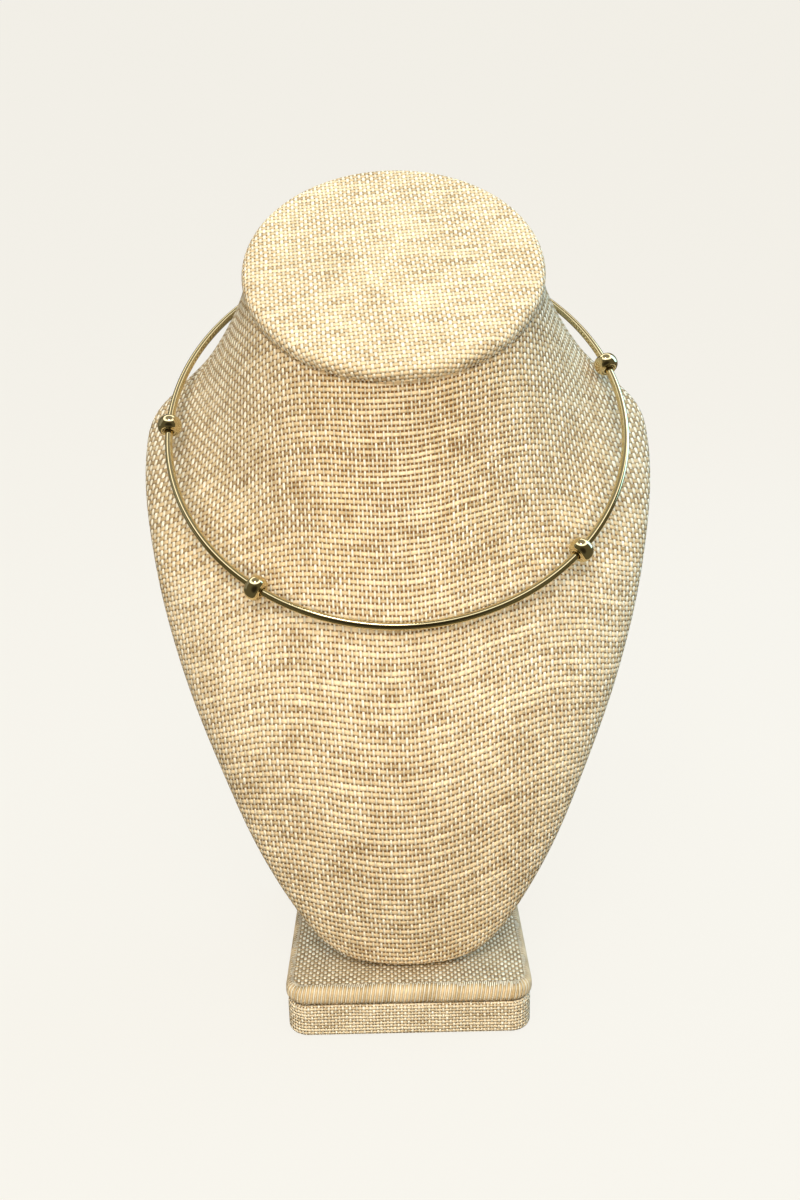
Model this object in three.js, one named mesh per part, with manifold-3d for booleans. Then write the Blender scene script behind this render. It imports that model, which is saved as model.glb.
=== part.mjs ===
// A rigid neck ring with four beads, shown on a cloth-covered neck bust.
// Millimetres, +X to the viewer's right, +Y to the back, +Z up.
// The origin is the centre of the base's underside.
import * as THREE from 'three';
import { mergeVertices } from 'three/addons/utils/BufferGeometryUtils.js';
import Module from 'manifold-3d';

const wasm = await Module();
wasm.setup();

// Driving sizes of the neck ring
const collarInsideDiameter = 129.8;
const wireDiameter = 2.2;
const collarTilt = 45.7; // degrees, front low and back high
const wireEndGap = 1.0; // between the two wire ends, inside the clasp
const claspDiameter = 4.4;
const claspLength = 9.0;
const claspChamfer = 0.5;
const beadDiameter = 7.0;
const beadLength = 4.4;
const beadFaceDiameter = 4.4; // the flat ring round the wire on each side of a bead
const boreClearance = 0.3; // round the wire, in the beads and in the clasp
const seatGap = 0.3; // between neighbours that lie on each other

// Driving sizes of the bust and its base
const bustHeight = 190;
const shoulderPerCollar = 1.1667; // half the shoulder width over the ring's radius
const depthPerCollar = 1.515; // the bust's depth, chest to nape, over the ring's radius
const chestSetback = 8; // from the base's front edge back to the tip of the chest
const capThickness = 4.6;
const capOverhang = 0.5;
const capEdgeRadius = 2.4;
const capCrown = 0.7;
const baseWidth = 69.6;
const baseDepth = 88;
const baseCornerRadius = 6;
const upperSlabHeight = 5.6;
const upperSlabEdge = 2.0;
const lowerSlabHeight = 9.6;
const lowerSlabEdge = 1.0;
const lowerSlabInset = 0.4;
const postWidth = 30;
const postDepth = 24;
const postSetback = 44; // from the base's front edge back to the post
const postCornerRadius = 4;
const postRise = 142; // before its top is cut to the bust's back
const postGap = 0.6; // measured in the bust's sections, so about half of it across the slanted top

// Fineness of the faceted surfaces
const wireSides = 10;
const wireSteps = 120;
const turnedSides = 16;
const bustSides = 56;
const bustRows = 44;

// Degrees round the ring from its lowest point at the front, right positive
const beadPlaces = {
  bead_left_side: -91,
  bead_left_front: -36,
  bead_right_front: 48.5,
  bead_right_side: 108,
};

// The bust's sections, from the neck's rim down to the tip of the chest. Heights are shares
// of bustHeight above the tip, setbacks are shares of the bust's depth behind the tip, half
// widths are shares of half the shoulder width, and a roundness of 2 is an ellipse.
const sectionColumns = ['sideHeight', 'sideSetback', 'frontHeight', 'frontSetback',
  'halfWidth', 'backReach', 'frontRoundness', 'backRoundness'];
const sectionRows = [
  [1.000, 0.565, 0.856, 0.241, 0.555, 0.428, 2.00, 2.00],
  [0.965, 0.575, 0.806, 0.229, 0.575, 0.402, 2.00, 2.00],
  [0.928, 0.597, 0.750, 0.202, 0.622, 0.350, 1.95, 2.00],
  [0.893, 0.635, 0.692, 0.163, 0.688, 0.285, 1.90, 1.95],
  [0.860, 0.675, 0.624, 0.113, 0.765, 0.240, 1.87, 1.90],
  [0.822, 0.705, 0.544, 0.053, 0.878, 0.225, 1.85, 1.85],
  [0.785, 0.710, 0.487, 0.017, 0.970, 0.202, 1.87, 1.85],
  [0.738, 0.678, 0.440, -0.010, 1.000, 0.195, 1.88, 1.90],
  [0.670, 0.603, 0.390, -0.034, 0.980, 0.198, 1.89, 2.00],
  [0.570, 0.490, 0.330, -0.052, 0.922, 0.200, 1.90, 2.00],
  [0.450, 0.360, 0.268, -0.062, 0.826, 0.190, 1.90, 2.00],
  [0.330, 0.245, 0.200, -0.061, 0.708, 0.178, 1.90, 2.00],
  [0.215, 0.152, 0.138, -0.052, 0.585, 0.160, 1.93, 2.00],
  [0.120, 0.092, 0.086, -0.035, 0.460, 0.138, 1.97, 2.00],
  [0.052, 0.060, 0.042, -0.016, 0.345, 0.110, 2.00, 2.00],
  [0.014, 0.052, 0.012, 0.002, 0.235, 0.072, 2.00, 2.00],
  [0.000, 0.052, 0.000, 0.028, 0.100, 0.026, 2.00, 2.00],
];
const collarRow = 5.2; // the row, counted from 0, whose front point carries the ring

// Sizes that follow
const wireRadius = wireDiameter / 2;
const collarRadius = collarInsideDiameter / 2 + wireRadius;
const boreRadius = wireRadius + boreClearance;
const shoulderHalfWidth = collarRadius * shoulderPerCollar;
const bustDepth = collarRadius * depthPerCollar;
const baseTop = lowerSlabHeight + seatGap + upperSlabHeight;
const tipHeight = baseTop + seatGap;
const tipY = chestSetback - baseDepth / 2;
const tilt = THREE.MathUtils.degToRad(collarTilt);

const cloth = new THREE.MeshStandardMaterial({ color: 0xd9bd8f, roughness: 0.95, metalness: 0 });
const gold = new THREE.MeshStandardMaterial({ color: 0xd8b45c, roughness: 0.12, metalness: 1 });

function toSolid(geometry) {
  const bare = geometry.clone();
  bare.deleteAttribute('normal');
  bare.deleteAttribute('uv');
  const merged = mergeVertices(bare, 1e-4);
  return new wasm.Manifold(new wasm.Mesh({
    numProp: 3,
    vertProperties: new Float32Array(merged.attributes.position.array),
    triVerts: new Uint32Array(merged.index.array),
  }));
}

function toGeometry(solid) {
  const mesh = solid.getMesh();
  const geometry = new THREE.BufferGeometry();
  geometry.setAttribute('position', new THREE.BufferAttribute(mesh.vertProperties, 3));
  geometry.setIndex(new THREE.BufferAttribute(mesh.triVerts, 1));
  geometry.computeVertexNormals();
  return geometry;
}

function named(name, geometry, material) {
  const mesh = new THREE.Mesh(geometry, material);
  mesh.name = name;
  return mesh;
}

function roundedRectangle(width, depth, radius) {
  const x = width / 2;
  const y = depth / 2;
  const shape = new THREE.Shape();
  shape.moveTo(-x + radius, -y);
  shape.lineTo(x - radius, -y);
  shape.absarc(x - radius, -y + radius, radius, -Math.PI / 2, 0);
  shape.lineTo(x, y - radius);
  shape.absarc(x - radius, y - radius, radius, 0, Math.PI / 2);
  shape.lineTo(-x + radius, y);
  shape.absarc(-x + radius, y - radius, radius, Math.PI / 2, Math.PI);
  shape.lineTo(-x, -y + radius);
  shape.absarc(-x + radius, -y + radius, radius, Math.PI, Math.PI * 1.5);
  return shape;
}

// The bust's three guide lines, through the side, front and back points of its sections
const sections = sectionRows.map((row) => {
  const share = Object.fromEntries(sectionColumns.map((column, i) => [column, row[i]]));
  const sideY = tipY + share.sideSetback * bustDepth;
  const sideZ = tipHeight + share.sideHeight * bustHeight;
  const front = new THREE.Vector2(
    tipY + share.frontSetback * bustDepth - sideY,
    tipHeight + share.frontHeight * bustHeight - sideZ,
  );
  const back = front.clone().normalize().multiplyScalar(-share.backReach * bustDepth);
  return {
    side: new THREE.Vector3(share.halfWidth * shoulderHalfWidth, sideY, sideZ),
    front: new THREE.Vector3(0, sideY + front.x, sideZ + front.y),
    back: new THREE.Vector3(0, sideY + back.x, sideZ + back.y),
    roundness: new THREE.Vector3(share.frontRoundness, share.backRoundness, 0),
  };
});

function guide(key) {
  return new THREE.CatmullRomCurve3(sections.map((section) => section[key]), false, 'catmullrom');
}

const sideLine = guide('side');
const frontLine = guide('front');
const backLine = guide('back');
const roundnessLine = guide('roundness');

// A point of the bust's skin: along is 0 at the neck and 1 at the tip, angle is 0 at the
// right side and a quarter turn at the front, and swell moves the skin out by that much.
function skinPoint(along, angle, swell) {
  const side = sideLine.getPoint(along);
  const atFront = Math.sin(angle) > 0;
  const end = (atFront ? frontLine : backLine).getPoint(along);
  const roundness = roundnessLine.getPoint(along);
  const power = 2 / (atFront ? roundness.x : roundness.y);
  const reach = new THREE.Vector2(end.y - side.y, end.z - side.z);
  reach.setLength(reach.length() + swell);
  const across = Math.sign(Math.cos(angle)) * Math.abs(Math.cos(angle)) ** power;
  const outward = Math.abs(Math.sin(angle)) ** power;
  return new THREE.Vector3(
    (side.x + swell) * across,
    side.y + reach.x * outward,
    side.z + reach.y * outward,
  );
}

function bustSkin(swell) {
  const points = [];
  for (let row = 0; row <= bustRows; row += 1) {
    for (let i = 0; i < bustSides; i += 1) {
      points.push(skinPoint(row / bustRows, (i / bustSides) * Math.PI * 2, swell));
    }
  }
  const middle = (row) => skinPoint(row, Math.PI / 2, swell)
    .add(skinPoint(row, -Math.PI / 2, swell)).multiplyScalar(0.5);
  const top = points.push(middle(0)) - 1;
  const tip = points.push(middle(1)) - 1;
  const faces = [];
  for (let i = 0; i < bustSides; i += 1) {
    const j = (i + 1) % bustSides;
    faces.push(top, j, i);
    for (let row = 0; row < bustRows; row += 1) {
      const upper = row * bustSides;
      const lower = upper + bustSides;
      faces.push(upper + i, upper + j, lower + j, upper + i, lower + j, lower + i);
    }
    faces.push(tip, bustRows * bustSides + i, bustRows * bustSides + j);
  }
  const geometry = new THREE.BufferGeometry().setFromPoints(points);
  geometry.setIndex(faces);
  geometry.computeVertexNormals();
  return geometry;
}

// The neck ring: its group lies in the ring's plane, with the front at local -Y
class RingArc extends THREE.Curve {
  getPoint(share, target = new THREE.Vector3()) {
    const halfGap = wireEndGap / 2 / collarRadius;
    const angle = halfGap + share * (Math.PI * 2 - halfGap * 2);
    return target.set(-collarRadius * Math.sin(angle), collarRadius * Math.cos(angle), 0);
  }
}

function wire(radius) {
  const section = new THREE.Shape();
  section.absarc(0, 0, radius, 0, Math.PI * 2);
  section.autoClose = true;
  return new THREE.ExtrudeGeometry(section, {
    steps: wireSteps,
    curveSegments: wireSides / 2, // a full circle takes two sides for each
    bevelEnabled: false,
    extrudePath: new RingArc(),
  });
}

// A bead is turned round local Y: a flat ring on each face and a full round rim
function bead(outerRadius, bore) {
  const flat = beadFaceDiameter / 2;
  const half = beadLength / 2;
  const rimSteps = 6;
  const profile = [new THREE.Vector2(bore, -half)];
  for (let i = 0; i <= rimSteps; i += 1) {
    const angle = -Math.PI / 2 + (i / rimSteps) * Math.PI;
    profile.push(new THREE.Vector2(
      flat + (outerRadius - flat) * Math.cos(angle),
      half * Math.sin(angle),
    ));
  }
  profile.push(new THREE.Vector2(bore, half), new THREE.Vector2(bore, -half));
  return new THREE.LatheGeometry(profile, turnedSides);
}

function clasp() {
  const outer = claspDiameter / 2;
  const half = claspLength / 2;
  const profile = [
    [boreRadius, -half],
    [outer - claspChamfer, -half],
    [outer, -half + claspChamfer],
    [outer, half - claspChamfer],
    [outer - claspChamfer, half],
    [boreRadius, half],
    [boreRadius, -half],
  ].map(([radius, along]) => new THREE.Vector2(radius, along));
  return new THREE.LatheGeometry(profile, turnedSides);
}

// Puts a turned piece on the wire, its bore along the wire's tangent
function threadOn(mesh, degrees, length) {
  const angle = THREE.MathUtils.degToRad(degrees);
  const sag = collarRadius - Math.sqrt(collarRadius ** 2 - (length / 2) ** 2);
  const radius = collarRadius - sag / 2;
  mesh.position.set(radius * Math.sin(angle), -radius * Math.cos(angle), 0);
  mesh.rotation.z = angle - Math.PI / 2;
  return mesh;
}

const collar = new THREE.Group();
collar.rotation.x = tilt;
const seatAlong = collarRow / (sectionRows.length - 1);
const seat = frontLine.getPoint(seatAlong);
const down = frontLine.getTangent(seatAlong);
const outward = new THREE.Vector3(0, down.z, -down.y);
collar.position.copy(seat)
  .addScaledVector(outward, wireRadius + seatGap)
  .add(new THREE.Vector3(0, collarRadius * Math.cos(tilt), collarRadius * Math.sin(tilt)));

collar.add(named('collar_wire', wire(wireRadius), gold));
collar.add(threadOn(named('collar_clasp', clasp(), gold), 180, claspLength));
for (const [name, degrees] of Object.entries(beadPlaces)) {
  const mesh = named(name, bead(beadDiameter / 2, boreRadius), gold);
  collar.add(threadOn(mesh, degrees, beadLength));
}
collar.updateMatrixWorld(true);

// The form keeps clear of the ring and the beads where they would press into it
function bustForm() {
  let solid = toSolid(bustSkin(0));
  const dents = [new THREE.Mesh(wire(wireRadius + seatGap))];
  for (const degrees of Object.values(beadPlaces)) {
    const dent = new THREE.CylinderGeometry(beadDiameter / 2 + seatGap, beadDiameter / 2 + seatGap,
      beadLength + seatGap * 2, turnedSides);
    dents.push(threadOn(new THREE.Mesh(dent), degrees, beadLength));
  }
  for (const dent of dents) {
    dent.updateMatrix();
    const place = new THREE.Matrix4().multiplyMatrices(collar.matrixWorld, dent.matrix);
    solid = solid.subtract(toSolid(dent.geometry.clone().applyMatrix4(place)));
  }
  return toGeometry(solid);
}

// The oval top on the neck's slanted rim, with a round edge and a slightly crowned face
function neckCap() {
  const rim = sections[0];
  const radius = rim.side.x + capOverhang;
  const flat = radius - capEdgeRadius;
  const crownSteps = 3;
  const edgeSteps = 4;
  const profile = [new THREE.Vector2(0, 0), new THREE.Vector2(radius - capOverhang, 0)];
  for (let i = 0; i <= edgeSteps; i += 1) {
    const angle = (i / edgeSteps) * Math.PI / 2;
    profile.push(new THREE.Vector2(
      flat + capEdgeRadius * Math.cos(angle),
      capThickness - capEdgeRadius + capEdgeRadius * Math.sin(angle),
    ));
  }
  for (let i = 1; i <= crownSteps; i += 1) {
    const share = i / crownSteps;
    profile.push(new THREE.Vector2(
      flat * (1 - share),
      capThickness + capCrown * Math.sin(share * Math.PI / 2),
    ));
  }
  const geometry = new THREE.LatheGeometry(profile, bustSides);
  geometry.rotateX(Math.PI / 2);
  const reach = rim.front.distanceTo(rim.back) / 2;
  geometry.scale(1, (reach + capOverhang) / radius, 1);
  const mesh = named('neck_cap', geometry, cloth);
  const slope = rim.back.clone().sub(rim.front).normalize();
  mesh.rotation.x = Math.atan2(slope.z, slope.y);
  mesh.position.copy(rim.front).add(rim.back).multiplyScalar(0.5)
    .add(new THREE.Vector3(0, -slope.z, slope.y).multiplyScalar(seatGap));
  return mesh;
}

function slab(name, width, depth, height, edge, bottom) {
  const shape = roundedRectangle(width, depth, baseCornerRadius);
  const geometry = new THREE.ExtrudeGeometry(shape, {
    depth: height - edge * 2,
    curveSegments: 3,
    bevelThickness: edge,
    bevelSize: edge,
    bevelOffset: -edge,
    bevelSegments: 3,
  });
  const mesh = named(name, geometry, cloth);
  mesh.position.z = bottom + edge;
  return mesh;
}

// The post stands on the base and its slanted top fits the bust's back
function supportPost() {
  const shape = roundedRectangle(postWidth, postDepth, postCornerRadius);
  const post = new THREE.ExtrudeGeometry(shape, {
    depth: postRise,
    curveSegments: 2,
    bevelEnabled: false,
  });
  post.translate(0, postSetback + postDepth / 2 - baseDepth / 2, baseTop + seatGap);
  const above = bustSkin(postGap);
  const parts = toSolid(post).subtract(toSolid(above)).decompose();
  const lowest = parts.sort((a, b) => a.boundingBox().min[2] - b.boundingBox().min[2])[0];
  return toGeometry(lowest);
}

const necklaceOnBust = new THREE.Group();
necklaceOnBust.add(
  slab('base_lower_slab', baseWidth - lowerSlabInset * 2, baseDepth - lowerSlabInset * 2,
    lowerSlabHeight, lowerSlabEdge, 0),
  slab('base_top_slab', baseWidth, baseDepth, upperSlabHeight, upperSlabEdge,
    lowerSlabHeight + seatGap),
  named('support_post', supportPost(), cloth),
  named('bust_form', bustForm(), cloth),
  neckCap(),
  collar,
);

export default necklaceOnBust;
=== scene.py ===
"""A rigid gold neck ring with four beads, on a burlap-covered neck bust.

Everything is in metres, in the frame of the loaded model: +X to the viewer's
right, +Y to the back of the bust, +Z up, with the origin under the base.
"""

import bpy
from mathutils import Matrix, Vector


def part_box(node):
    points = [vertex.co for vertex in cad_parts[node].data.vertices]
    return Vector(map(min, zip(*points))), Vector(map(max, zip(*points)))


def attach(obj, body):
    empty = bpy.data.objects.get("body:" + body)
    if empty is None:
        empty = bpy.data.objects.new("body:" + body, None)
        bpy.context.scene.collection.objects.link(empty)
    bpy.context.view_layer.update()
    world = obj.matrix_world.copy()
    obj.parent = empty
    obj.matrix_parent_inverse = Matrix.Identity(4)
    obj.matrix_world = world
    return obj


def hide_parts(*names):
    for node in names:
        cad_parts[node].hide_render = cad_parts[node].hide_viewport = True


bl_info = {
    "name": "Collar Choker Necklace",
    "version": (1, 0, 0),
    "blender": (4, 5, 0),
    "location": "View3D > Sidebar > Necklace",
    "description": "Dresses a rigid neck ring and its burlap neck bust, and lights them",
    "category": "Object",
}

import math

import bmesh
import bpy
import numpy as np
from mathutils import Matrix, Vector

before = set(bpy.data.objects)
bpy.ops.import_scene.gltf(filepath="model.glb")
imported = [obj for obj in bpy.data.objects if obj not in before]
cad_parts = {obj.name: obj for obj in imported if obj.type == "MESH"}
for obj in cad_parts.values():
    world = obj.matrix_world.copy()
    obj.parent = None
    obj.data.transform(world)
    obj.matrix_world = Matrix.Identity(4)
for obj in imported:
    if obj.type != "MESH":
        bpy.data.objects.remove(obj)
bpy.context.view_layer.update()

BODY = "root"
THREADS = "threads"
BEADS = ("bead_left_side", "bead_left_front", "bead_right_front", "bead_right_side")

# The bust's sections, from the neck's rim down to the tip of the chest. Heights are shares of
# the bust's height above the tip, setbacks are shares of its depth behind the tip, half
# widths are shares of half the shoulder width, and a roundness of 2 is an ellipse.
SECTION_COLUMNS = ("side_height", "side_setback", "front_height", "front_setback",
                   "half_width", "back_reach", "front_roundness", "back_roundness")
SECTION_ROWS = (
    (1.000, 0.565, 0.856, 0.241, 0.555, 0.428, 2.00, 2.00),
    (0.965, 0.575, 0.806, 0.229, 0.575, 0.402, 2.00, 2.00),
    (0.928, 0.597, 0.750, 0.202, 0.622, 0.350, 1.95, 2.00),
    (0.893, 0.635, 0.692, 0.163, 0.688, 0.285, 1.90, 1.95),
    (0.860, 0.675, 0.624, 0.113, 0.765, 0.240, 1.87, 1.90),
    (0.822, 0.705, 0.544, 0.053, 0.878, 0.225, 1.85, 1.85),
    (0.785, 0.710, 0.487, 0.017, 0.970, 0.202, 1.87, 1.85),
    (0.738, 0.678, 0.440, -0.010, 1.000, 0.195, 1.88, 1.90),
    (0.670, 0.603, 0.390, -0.034, 0.980, 0.198, 1.89, 2.00),
    (0.570, 0.490, 0.330, -0.052, 0.922, 0.200, 1.90, 2.00),
    (0.450, 0.360, 0.268, -0.062, 0.826, 0.190, 1.90, 2.00),
    (0.330, 0.245, 0.200, -0.061, 0.708, 0.178, 1.90, 2.00),
    (0.215, 0.152, 0.138, -0.052, 0.585, 0.160, 1.93, 2.00),
    (0.120, 0.092, 0.086, -0.035, 0.460, 0.138, 1.97, 2.00),
    (0.052, 0.060, 0.042, -0.016, 0.345, 0.110, 2.00, 2.00),
    (0.014, 0.052, 0.012, 0.002, 0.235, 0.072, 2.00, 2.00),
    (0.000, 0.052, 0.000, 0.028, 0.100, 0.026, 2.00, 2.00),
)


def box_size(node):
    low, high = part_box(node)
    return Vector(high) - Vector(low)


def box_centre(node):
    low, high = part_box(node)
    return (Vector(high) + Vector(low)) / 2


WIRE_RADIUS = 0.0011
RING_CENTRE = box_centre("collar_wire")
RING_RADIUS = box_size("collar_wire").x / 2 - WIRE_RADIUS
RING_TILT = math.atan2(box_size("collar_wire").z / 2 - WIRE_RADIUS,
                       box_size("collar_wire").y / 2 - WIRE_RADIUS)
BASE_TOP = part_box("base_top_slab")[1][2]
BASE_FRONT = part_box("base_top_slab")[0][1]


def length(name, description, default):
    return bpy.props.FloatProperty(name=name, description=description, default=default,
                                   min=0, unit="LENGTH", precision=5)


def number(name, description, default, low=0.0, high=10.0):
    return bpy.props.FloatProperty(name=name, description=description, default=default,
                                   min=low, max=high)


def colour(name, description, default):
    return bpy.props.FloatVectorProperty(name=name, description=description, default=default,
                                         size=3, min=0, max=1, subtype="COLOR")


class CollarSettings(bpy.types.PropertyGroup):
    wire_diameter: length("Wire diameter", "Thickness of the round wire", WIRE_RADIUS * 2)
    bead_diameter: length("Bead diameter", "Largest thickness of a bead", 0.007)
    bead_length: length("Bead length", "Length of a bead along the wire", 0.0044)
    bead_face: length("Bead face", "Diameter of the flat ring on each side of a bead", 0.0044)
    bead_lip: length("Bead lip", "Height of the small lip round each bead's bore", 0.00018)
    bore_gap: length("Bore gap", "Air between the wire and a bead's bore", 0.0003)
    end_gap: length("End gap", "Gap between the two wire ends inside the clasp", 0.001)
    clasp_diameter: length("Clasp diameter", "Thickness of the clasp's barrel", 0.0044)
    clasp_length: length("Clasp length", "Length of the clasp's barrel", 0.009)
    clasp_chamfer: length("Clasp chamfer", "Rounding of the clasp's ends", 0.0006)
    clasp_groove: length("Clasp groove", "Depth of the groove round its middle", 0.00018)
    gold: colour("Gold", "Reflected colour of the pale gold plating", (0.74, 0.61, 0.34))
    polish: number("Polish", "Roughness of the polished metal", 0.05, 0.0, 1.0)


class BustSettings(bpy.types.PropertyGroup):
    height: length("Height", "Height of the bust from its tip to the neck's sides", 0.190)
    shoulder: number("Shoulder", "Half the shoulder width over the ring's radius", 1.1667)
    depth: number("Depth", "Depth from chest to nape over the ring's radius", 1.515)
    tip_setback: length("Tip setback", "From the base's front edge to the tip", 0.008)
    seat_gap: length("Seat gap", "Air between pieces that lie on each other", 0.0003)
    top_thickness: length("Top thickness", "Thickness of the neck's top", 0.0046)
    top_crown: length("Top crown", "How far the middle of the neck's top stands up", 0.0007)
    rim_overhang: length("Rim overhang", "How far the neck's top stands out", 0.0005)
    rim_edge: length("Rim edge", "Radius of the neck top's rounded edge", 0.0028)


class BaseSettings(bpy.types.PropertyGroup):
    corner: length("Corner", "Radius of the base's upright corners", 0.006)
    upper_edge: length("Upper edge", "Rounding of the upper board's rims", 0.0022)
    lower_edge: length("Lower edge", "Rounding of the lower board's rims", 0.0012)
    rim_stitch: length("Rim stitch", "Half the distance between strokes on the rim", 0.00057)
    strip_pitch: length("Strip pitch", "Distance between threads round the lower board", 0.00097)
    post_corner: length("Post corner", "Radius of the post's upright corners", 0.004)


class BurlapSettings(bpy.types.PropertyGroup):
    warp_pitch: length("Warp pitch", "Distance between upright threads", 0.00122)
    weft_pitch: length("Weft pitch", "Distance between level threads", 0.00137)
    chest_pitch: length("Chest pitch", "Distance between upright threads on the chest", 0.00111)
    relief: length("Relief", "Height of the weave", 0.00042)
    warp_tint: colour("Warp", "Colour of the upright threads", (0.95, 0.86, 0.67))
    weft_tint: colour("Weft", "Colour of the level threads", (0.785, 0.572, 0.312))
    # The gaps between threads show the backing's brown with painted shade over it
    gap_backing_and_shade: colour("Gaps", "Colour seen between the threads", (0.24, 0.11, 0.035))


class StageSettings(bpy.types.PropertyGroup):
    floor_tint: colour("Floor", "Colour of the pale floor", (0.905, 0.880, 0.815))
    floor_glow: number("Floor glow", "Strength of the floor's own even light", 0.955)
    key_power: number("Key light", "Power of the large front light in watts", 8.2, 0, 1000)
    fill_power: number("Fill light", "Power of the low front light in watts", 5.5, 0, 1000)
    top_power: number("Top light", "Power of the light over the neck in watts", 0.4, 0, 1000)
    side_power: number("Side light", "Power of the cool light on the right in watts", 5.4, 0, 1000)
    sky: number("Sky", "Strength of the room's light, dim with a bright band", 0.72, 0, 10)


SETTINGS = {
    "collar": CollarSettings,
    "bust": BustSettings,
    "base": BaseSettings,
    "burlap": BurlapSettings,
    "stage": StageSettings,
}


def settings(group):
    return getattr(bpy.context.scene, "necklace_" + group)


# Meshes


def make_object(name, points, faces, corner_threads=None):
    """A smooth mesh object, with the cloth's thread counts as a UV map where it has them."""
    mesh = bpy.data.meshes.new(name)
    mesh.from_pydata([tuple(map(float, p)) for p in points], [], faces)
    if corner_threads is not None:
        layer = mesh.uv_layers.new(name=THREADS)
        layer.data.foreach_set("uv", np.asarray(corner_threads, np.float32).ravel())
    mesh.polygons.foreach_set("use_smooth", [True] * len(mesh.polygons))
    mesh.update()
    thing = bpy.data.objects.new(name, mesh)
    bpy.context.scene.collection.objects.link(thing)
    return thing


def outward(thing):
    """Turns every face of a closed mesh outward."""
    work = bmesh.new()
    work.from_mesh(thing.data)
    bmesh.ops.recalc_face_normals(work, faces=work.faces)
    work.to_mesh(thing.data)
    work.free()


def closed_grid(points, threads=None, first_cap=None, last_cap=None):
    """Points, faces and corner threads of a tube whose rows run round and whose ends are
    closed by a fan. threads has one column more than points, for the corner that closes it,
    and each cap is the fan's centre point with its threads."""
    rows, around = points.shape[:2]
    vertices = [tuple(p) for p in points.reshape(-1, 3)]
    faces = []
    corners = []

    def uv(row, column):
        return (0, 0) if threads is None else threads[row][column]

    for row in range(rows - 1):
        for column in range(around):
            after = (column + 1) % around
            faces.append((row * around + column, (row + 1) * around + column,
                          (row + 1) * around + after, row * around + after))
            corners += [uv(row, column), uv(row + 1, column),
                        uv(row + 1, column + 1), uv(row, column + 1)]
    for row, cap, flip in ((0, first_cap, False), (rows - 1, last_cap, True)):
        if cap is None:
            continue
        centre = len(vertices)
        vertices.append(tuple(cap[0]))
        for column in range(around):
            after = (column + 1) % around
            face = [centre, row * around + column, row * around + after]
            face_threads = [cap[1], uv(row, column), uv(row, column + 1)]
            if flip:
                face.reverse()
                face_threads.reverse()
            faces.append(tuple(face))
            corners += face_threads
    return vertices, faces, corners


def running_length(points):
    """Distance along a line of points, from its first point."""
    steps = np.linalg.norm(np.diff(points, axis=0), axis=1)
    return np.concatenate([[0], np.cumsum(steps)])


def smooth_column(column, where):
    """A column of the section table, read smoothly between its rows."""
    last = len(column) - 1
    index = np.clip(np.floor(where).astype(int), 0, last - 1)
    part = where - index

    def value(i):
        before = 2 * column[0] - column[1]
        beyond = 2 * column[-1] - column[-2]
        inside = column[np.clip(i, 0, last)]
        return np.where(i < 0, before, np.where(i > last, beyond, inside))

    p0, p1, p2, p3 = (value(index + k) for k in (-1, 0, 1, 2))
    m1 = (p2 - p0) / 2
    m2 = (p3 - p1) / 2
    return ((2 * p1 - 2 * p2 + m1 + m2) * part ** 3
            + (3 * p2 - 3 * p1 - 2 * m1 - m2) * part ** 2 + m1 * part + p1)


def bust_guides(rows):
    """Side, front and back points of the bust's sections, and their roundness."""
    bust = settings("bust")
    table = np.array(SECTION_ROWS)
    where = np.linspace(0, len(table) - 1, rows)
    share = {name: smooth_column(table[:, i], where) for i, name in enumerate(SECTION_COLUMNS)}
    width = RING_RADIUS * bust.shoulder
    depth = RING_RADIUS * bust.depth
    tip = Vector((0, BASE_FRONT + bust.tip_setback, BASE_TOP + bust.seat_gap))
    side = np.stack([share["half_width"] * width,
                     tip.y + share["side_setback"] * depth,
                     tip.z + share["side_height"] * bust.height], 1)
    front = np.stack([np.zeros(rows),
                      tip.y + share["front_setback"] * depth,
                      tip.z + share["front_height"] * bust.height], 1)
    reach = front[:, 1:] - side[:, 1:]
    reach /= np.linalg.norm(reach, axis=1)[:, None]
    back = np.zeros((rows, 3))
    back[:, 1:] = side[:, 1:] - reach * share["back_reach"][:, None] * depth
    return side, front, back, share["front_roundness"], share["back_roundness"]


def bust_skin(rows, around):
    """The bust's skin as rows of points, each from the nape line round the right side."""
    side, front, back, front_round, back_round = bust_guides(rows)
    angle = np.linspace(0, 2 * math.pi, around, endpoint=False) - math.pi / 2
    sine = np.sin(angle)[None, :]
    cosine = np.cos(angle)[None, :]
    at_front = sine > 0
    power = 2 / np.where(at_front, front_round[:, None], back_round[:, None])
    across = np.sign(cosine) * np.abs(cosine) ** power
    along = np.abs(sine) ** power
    end = np.where(at_front[..., None], front[:, None, 1:], back[:, None, 1:])
    points = np.empty((rows, around, 3))
    points[..., 0] = side[:, None, 0] * across
    points[..., 1:] = side[:, None, 1:] + (end - side[:, None, 1:]) * along[..., None]
    return points


# Cloth directions


# The slopes of the planes that hold the level threads, from the neck's rim down to the tip.
# The leans are in degrees.
THREAD_SLOPES = (0.37, 0.40, 0.25, 0.14, 0.0, -0.10)
WARP_LEAN = -1.5
WEFT_LEAN = -5.6
# Distances between level threads at the crease and at the tip
CREASE_ROW_PITCH = 0.00147
TIP_ROW_PITCH = 0.0013
# How much wider apart the upright threads lie at this distance from the front line
WARP_PITCH_GAIN = 0.23
WARP_GAIN_REACH = 0.050
# How far the front line is drawn on above the rim, so that the threads there have a start
ABOVE_RIM = 0.09
# Height, length and shift of the wave in the chest's rows
CHEST_WAVE = (-0.0025, 0.075, -0.0157)


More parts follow.
